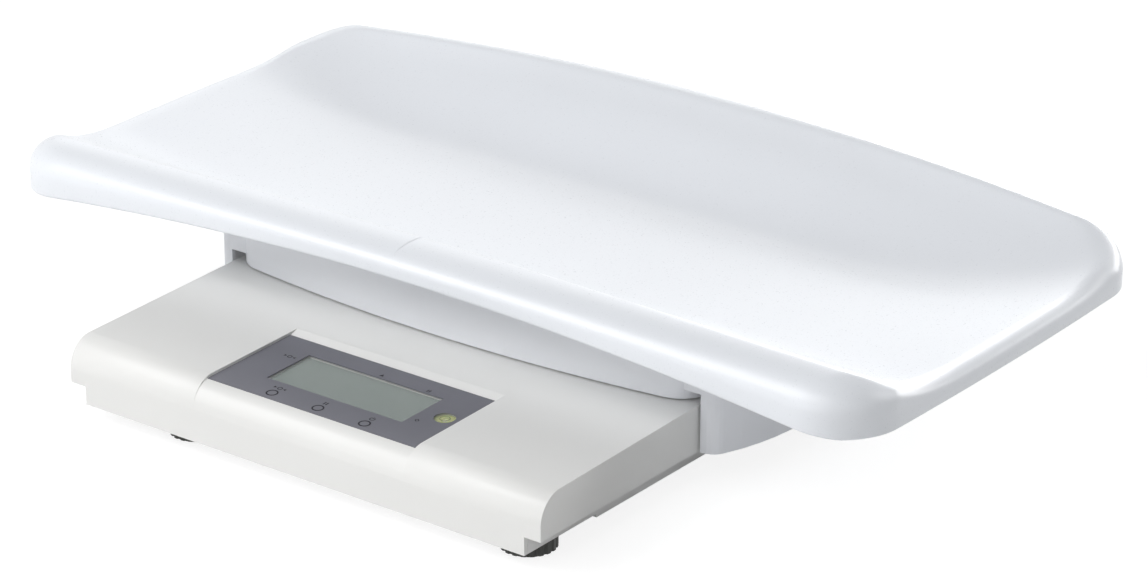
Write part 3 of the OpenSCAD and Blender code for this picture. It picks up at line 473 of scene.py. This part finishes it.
rim = bowed(
    box_loop(TRAY_HALF, TRAY_Y, TRAY_REAR, FRONT_CORNER, REAR_CORNER),
    TRAY_HALF,
    TRAY_Y,
    TRAY_REAR,
)
crest = bowed(
    box_loop(
        CREST_HALF, CREST_FRONT, CREST_REAR, CREST_FRONT_CORNER, CREST_REAR_CORNER
    ),
    CREST_HALF,
    CREST_FRONT,
    CREST_REAR,
)
out_way = rim - crest
out_len = np.linalg.norm(out_way, axis=1)
out_way = out_way / out_len[:, None]
rim_foot_z = RIM_FOOT + RIM_ARCH * arch(rim[:, 0])
centre = np.array([0, TRAY_MID])


def lift(p):
    return tray_height(p[:, 0], p[:, 1])


def inside(d):
    return crest - d * out_way


def crest_z(d):
    """Upper surface near the crest, rounded so that it ends level on the crest."""
    fall = lift(crest) - lift(inside(CREST_R))
    return lift(inside(d)) - ((CREST_R - d) / CREST_R) ** 2 * fall / 2


def inner_ring(s, drop):
    p = centre + s * (inside(CREST_R) - centre)
    return np.column_stack([p, lift(p) - drop])


def crest_ring(d, drop):
    return np.column_stack([inside(d), crest_z(d) - drop])


def roll_height():
    """Near the lesser of a share of the rim's height and a share of the roll's width."""
    high, wide = ROLL_SHARE * (crest_z(0) - rim_foot_z), ROLL_ROUND * out_len
    return (high**-ROLL_BLEND + wide**-ROLL_BLEND) ** (-1 / ROLL_BLEND)


def roll_ring(a, thin):
    a = math.radians(a)
    p = crest + out_way * ((out_len - thin) * math.sin(a))[:, None]
    fall = (roll_height() - ROLL_SHARE * thin) * (1 - math.cos(a))
    return np.column_stack([p, crest_z(0) - thin - fall])


def foot_ring(back, share, up=0.0):
    """A ring on the rim's upright face: a share of the way up to the roll, and up."""
    p = crest + out_way * (out_len - back)[:, None]
    z = rim_foot_z + up + share * (crest_z(0) - roll_height() - rim_foot_z - up)
    return np.column_stack([p, z])


def tray_rings():
    wall = 0.8 * TRAY_T
    lip = wall / 2
    steps = np.linspace(0.02, 1, 60)
    rings = [inner_ring(s, 0) for s in steps]
    rings += [crest_ring(d, 0) for d in (6.8, 5.6, 4.4, 3.3, 2.2, 1.1, 0)]
    rings += [roll_ring(a, 0) for a in np.linspace(5, 90, 18)]
    rings += [foot_ring(0, share, lip) for share in (0.75, 0.5, 0.25, 0)]
    for a in (30, 60, 90, 120, 150):
        a = math.radians(a)
        rings.append(foot_ring(lip * (1 - math.cos(a)), 0, lip * (1 - math.sin(a))))
    rings += [foot_ring(wall, share, lip) for share in (0, 0.4)]
    rings += [roll_ring(a, wall) for a in np.linspace(90, 10, 9)]
    rings += [crest_ring(d, TRAY_T) for d in (0, 3, 6)]
    rings += [inner_ring(s, TRAY_T) for s in steps[::-3]]
    return rings


def closed_skin(rings):
    """Points and faces of one skin through all the rings, closed by a fan at each end."""
    n = len(rings[0])
    points = np.concatenate(rings + [rings[0].mean(0)[None], rings[-1].mean(0)[None]])
    faces = []
    for k in range(len(rings) - 1):
        for i in range(n):
            j = (i + 1) % n
            a, b = k * n, (k + 1) * n
            faces.append((a + i, b + i, b + j, a + j))
    last = len(rings) * n
    for i in range(n):
        j = (i + 1) % n
        faces.append((last, i, j))
        faces.append((last + 1, (len(rings) - 1) * n + j, (len(rings) - 1) * n + i))
    return points, faces


tray_points, tray_faces = closed_skin(tray_rings())
tray = mesh_object(
    "tray", placed(tray_points), [f[::-1] for f in tray_faces], MATERIAL["tray_white"]
)
piece(tray, "platform", "tray_white", "tray_shell")

# ---- prints on the panel -----------------------------------------------------------------------

INK_H = 0.03


def flat_print(name, outlines, body="base", height=FILM_TOP + 0.02):
    """Thin ink shapes on the panel. An outline is a list of (x, y) on the console's top plane."""
    points, faces = [], []
    for loop in outlines:
        n, first = len(loop), len(points)
        points += [(x, y, height) for x, y in loop]
        points += [(x, y, height + INK_H) for x, y in loop]
        faces.append([first + i for i in reversed(range(n))])
        faces.append([first + n + i for i in range(n)])
        for i in range(n):
            j = (i + 1) % n
            faces.append([first + i, first + j, first + n + j, first + n + i])
    o = mesh_object(name, placed(on_top(points)), faces, MATERIAL["ink"], angle=0)
    return piece(o, body, "film_grey")


def bar(x0, y0, x1, y1, width):
    """A straight stroke as a four-cornered outline."""
    dx, dy = x1 - x0, y1 - y0
    k = width / 2 / math.hypot(dx, dy)
    ox, oy = -dy * k, dx * k
    return [(x0 + ox, y0 + oy), (x0 - ox, y0 - oy), (x1 - ox, y1 - oy), (x1 + ox, y1 + oy)]


def arc(cx, cy, r, width, start=0, stop=360, steps=40):
    """A curved stroke as a row of short outlines."""
    out = []
    for i in range(steps):
        a, b = (math.radians(start + (stop - start) * k / steps) for k in (i, i + 1))
        ring = [(r + width / 2, a), (r + width / 2, b), (r - width / 2, b), (r - width / 2, a)]
        out.append([(cx + q * math.cos(t), cy + q * math.sin(t)) for q, t in ring])
    return out


KEY_R, KEY_PITCH, KEY_Y = 3.5, 31.5, 17.8
RING_IN, RING_WIDTH = 0.5, 0.9
for side, body in ((-1, "key_left"), (0, "key_middle"), (1, "key_right")):
    flat_print(f"{body}_ring", arc(side * KEY_PITCH, KEY_Y, KEY_R - RING_IN, RING_WIDTH), body)


def triangle(cx, cy, size, turn):
    return [
        (
            cx + size * math.cos(math.radians(turn + a)),
            cy + size * math.sin(math.radians(turn + a)),
        )
        for a in (0, 120, 240)
    ]


def zero_symbol(cx, cy, k):
    """A nought between two arrow heads."""
    return arc(cx, cy, 0.8 * k, 0.35 * k, steps=20) + [
        triangle(cx - 2.1 * k, cy, 0.75 * k, 0),
        triangle(cx + 2.1 * k, cy, 0.75 * k, 180),
    ]


def hold_symbol(cx, cy, k):
    """Two upright bars."""
    return [bar(cx + d * k, cy - 0.9 * k, cx + d * k, cy + 0.9 * k, 0.5 * k) for d in (-0.5, 0.5)]


def power_symbol(cx, cy, k):
    """An open circle with an upright stroke."""
    return arc(cx, cy, 0.9 * k, 0.32 * k, 120, 420, 24) + [
        bar(cx, cy + 0.1 * k, cx, cy + 1.2 * k, 0.34 * k)
    ]


LABEL_Y, LABEL_SIZE = 24.2, 1.6
# the marks beside the display, on the console's top plane
ZERO_AT, STABLE_AT, HOLD_AT, NET_AT = (-53.2, 57.2), (2, 67.6), (34.1, 67.3), (51.1, 36.6)
flat_print("label_zero", zero_symbol(-KEY_PITCH, LABEL_Y, LABEL_SIZE))
flat_print("label_hold", hold_symbol(0, LABEL_Y, LABEL_SIZE))
flat_print("label_power", power_symbol(KEY_PITCH, LABEL_Y, LABEL_SIZE))
flat_print("mark_zero", zero_symbol(*ZERO_AT, 1.5))
flat_print("mark_stable", [triangle(*STABLE_AT, 1.6, 90)])
flat_print("mark_hold", hold_symbol(*HOLD_AT, 1.4))
flat_print("mark_net", arc(*NET_AT, 1.2, 0.6, steps=4))

# ---- spirit level ------------------------------------------------------------------------------

LEVEL = (61.0, 47.3)
CIRCLE_R, CIRCLE_WIDTH, CIRCLE_DEEP = 2.7, 0.28, 0.49
BUBBLE_AT = (LEVEL[0] + 0.4, LEVEL[1] - 0.2)
BUBBLE_R, BUBBLE_H, BUBBLE_DEEP = 1.9, 0.5, 2.05

level_circle = arc(*LEVEL, CIRCLE_R, CIRCLE_WIDTH, steps=48)
flat_print("level_circle", level_circle, height=FILM_TOP - CIRCLE_DEEP)


def bubble():
    """The air bubble, a low dome just under the vial's top."""
    points, faces, n = [], [], 32
    angles = np.linspace(0.25, math.pi / 2, 6)
    rows = [(BUBBLE_R * math.sin(a), BUBBLE_H * math.cos(a)) for a in angles]
    for r, h in rows:
        for i in range(n):
            a = 2 * math.pi * i / n
            x, y = BUBBLE_AT[0] + r * math.cos(a), BUBBLE_AT[1] + r * math.sin(a)
            points.append((x, y, FILM_TOP - BUBBLE_DEEP + h))
    for k in range(len(rows) - 1):
        for i in range(n):
            j = (i + 1) % n
            faces.append((k * n + i, (k + 1) * n + i, (k + 1) * n + j, k * n + j))
    faces.append(list(range(n)))
    faces.append([(len(rows) - 1) * n + i for i in reversed(range(n))])
    o = mesh_object("level_bubble", placed(on_top(points)), faces, MATERIAL["vial_clear"], 50)
    piece(o, "base", "vial_clear")


bubble()

# ---- centre mark on the front rim --------------------------------------------------------------


MARK_X, MARK_WIDTH, MARK_LIFT, MARK_SINK = -7.5, 1.0, 0.55, 0.1
MARK_FROM, MARK_SPAN, MARK_LEAN = -6, 62, 2.5


def rim_mark():
    """A short raised line over the middle of the front roll, from crest to front."""
    points, faces, rows = [], [], 24
    front = np.flatnonzero(crest[:, 1] < TRAY_MID)
    at = front[np.argmin(np.abs(crest[front, 0] - MARK_X))]
    top, fall = crest_z(0)[at], roll_height()[at]
    for i in range(rows + 1):
        a = math.radians(MARK_FROM + MARK_SPAN * i / rows)
        x = MARK_X + MARK_LEAN * (1 - i / rows) ** 2
        y = CREST_FRONT - FRONT_ROLL * math.sin(a)
        z = top - fall * (1 - math.cos(max(0, a)))
        ridge = MARK_LIFT * math.sin(math.pi * i / rows) ** 0.35
        for d, up in ((-0.5, -MARK_SINK), (0, ridge), (0.5, -MARK_SINK)):
            points.append((x + d * MARK_WIDTH, y, z + up))
    for i in range(rows):
        for k in (0, 1):
            a = 3 * i + k
            faces.append((a, a + 1, a + 4, a + 3))
    o = mesh_object("rim_mark", placed(points), faces, MATERIAL["tray_white"])
    piece(o, "platform", "tray_white")


rim_mark()

# ---- floor, world, lamps -----------------------------------------------------------------------


def seen_rays(tree):
    """1 for camera, glossy and transmission rays, which see the white background."""
    path = tree.nodes.new("ShaderNodeLightPath")
    last = path.outputs["Is Camera Ray"]
    for kind in ("Is Glossy Ray", "Is Transmission Ray"):
        most = tree.nodes.new("ShaderNodeMath")
        most.operation = "MAXIMUM"
        tree.links.new(last, most.inputs[0])
        tree.links.new(path.outputs[kind], most.inputs[1])
        last = most.outputs[0]
    return last


FLOOR_HALF = 9
# what the camera and reflections see of the floor: a little light, which holds the shadow,
# and a glow that brings it to white
FLOOR_SHOWN, FLOOR_GLOW = 0.24, 0.86
CEILING_GREY = (0.2, 0.2, 0.21, 1)


def studio():
    edge = FLOOR_HALF
    floor = mesh_object(
        "floor",
        [(-edge, -edge, 0), (edge, -edge, 0), (edge, edge, 0), (-edge, edge, 0)],
        [(0, 1, 2, 3)],
        bpy.data.materials.new("floor"),
        angle=0,
    )
    m = floor.data.materials[0]
    m.use_nodes = True
    t = m.node_tree
    t.nodes.clear()
    new = t.nodes.new
    out = new("ShaderNodeOutputMaterial")
    seen = seen_rays(t)
    diffuse = new("ShaderNodeBsdfDiffuse")
    diffuse.inputs["Color"].default_value = (0.8, 0.8, 0.8, 1)
    shown = new("ShaderNodeBsdfDiffuse")
    shown.inputs["Color"].default_value = (FLOOR_SHOWN, FLOOR_SHOWN, FLOOR_SHOWN, 1)
    glow = new("ShaderNodeEmission")
    glow.inputs["Strength"].default_value = FLOOR_GLOW
    add = new("ShaderNodeAddShader")
    mix = new("ShaderNodeMixShader")
    t.links.new(shown.outputs[0], add.inputs[0])
    t.links.new(glow.outputs[0], add.inputs[1])
    t.links.new(seen, mix.inputs[0])
    t.links.new(diffuse.outputs[0], mix.inputs[1])
    t.links.new(add.outputs[0], mix.inputs[2])
    t.links.new(mix.outputs[0], out.inputs[0])

    world = bpy.data.worlds.new("world")
    bpy.context.scene.world = world
    world.use_nodes = True
    t = world.node_tree
    t.nodes.clear()
    new = t.nodes.new
    out = new("ShaderNodeOutputWorld")
    ambient = new("ShaderNodeBackground")
    ambient.inputs["Color"].default_value = (0.95, 0.97, 1.0, 1)
    ambient.inputs["Strength"].default_value = 0.05
    # the background: white walls that darken towards the ceiling, which the tray reflects
    where = new("ShaderNodeTexCoord")
    parts = new("ShaderNodeSeparateXYZ")
    t.links.new(where.outputs["Generated"], parts.inputs[0])
    ramp = new("ShaderNodeValToRGB")
    wall, ceiling = ramp.color_ramp.elements
    wall.position, wall.color = 0.58, (1, 1, 1, 1)
    ceiling.position, ceiling.color = 0.76, CEILING_GREY
    t.links.new(parts.outputs["Z"], ramp.inputs["Fac"])
    white = new("ShaderNodeBackground")
    white.inputs["Strength"].default_value = 1.0
    t.links.new(ramp.outputs["Color"], white.inputs["Color"])
    mix = new("ShaderNodeMixShader")
    t.links.new(seen_rays(t), mix.inputs[0])
    t.links.new(ambient.outputs[0], mix.inputs[1])
    t.links.new(white.outputs[0], mix.inputs[2])
    t.links.new(mix.outputs[0], out.inputs[0])


LAMP_AIM = Vector((0, 0, 0.1))


def lamp(name, place, size, power):
    """A soft area lamp that looks at the scale: size in metres, power in watts."""
    data = bpy.data.lights.new(name, "AREA")
    data.shape = "RECTANGLE"
    data.size, data.size_y = size
    data.energy = power
    o = bpy.data.objects.new(name, data)
    bpy.context.scene.collection.objects.link(o)
    o.location = place
    o.rotation_euler = (LAMP_AIM - Vector(place)).to_track_quat("-Z", "Y").to_euler()


studio()
LAMPS = [
    ("main", (-1.15, -1.15, 1.75), (1.2, 1.35), 24.0),
    ("front_high", (0.0, -1.6, 1.7), (1.8, 1.0), 18.0),
    ("front_left", (-1.3, -1.8, 1.3), (1.6, 1.2), 5.0),
    ("front_low", (0.2, -2.3, 0.5), (2.0, 0.8), 10.0),
    ("back_low", (0.1, 2.3, 0.7), (2.8, 0.7), 40.0),
    ("back_wide", (-0.9, 2.0, 1.15), (3.4, 0.9), 10.0),
    ("right_back", (1.6, 1.2, 1.5), (1.2, 1.0), 13.0),
]
for spec in LAMPS:
    lamp(*spec)

# ---- camera and view ---------------------------------------------------------------------------

# fitted to the photo: lens in millimetres, place in metres, turns in degrees
CAMERA_LENS = 134.06
CAMERA_PLACE = (1.32914, -1.69422, 0.97336)
CAMERA_DOWN, CAMERA_ROUND = 23.209, 37.3247

camera_data = bpy.data.cameras.new("camera")
camera_data.sensor_width = 36.0
camera_data.lens = CAMERA_LENS
camera_data.clip_end = 50
camera = bpy.data.objects.new("camera", camera_data)
bpy.context.scene.collection.objects.link(camera)
camera.location = CAMERA_PLACE
camera.rotation_euler = (math.radians(90 - CAMERA_DOWN), 0, math.radians(CAMERA_ROUND))
bpy.context.scene.camera = camera
bpy.context.scene.view_settings.view_transform = "Standard"
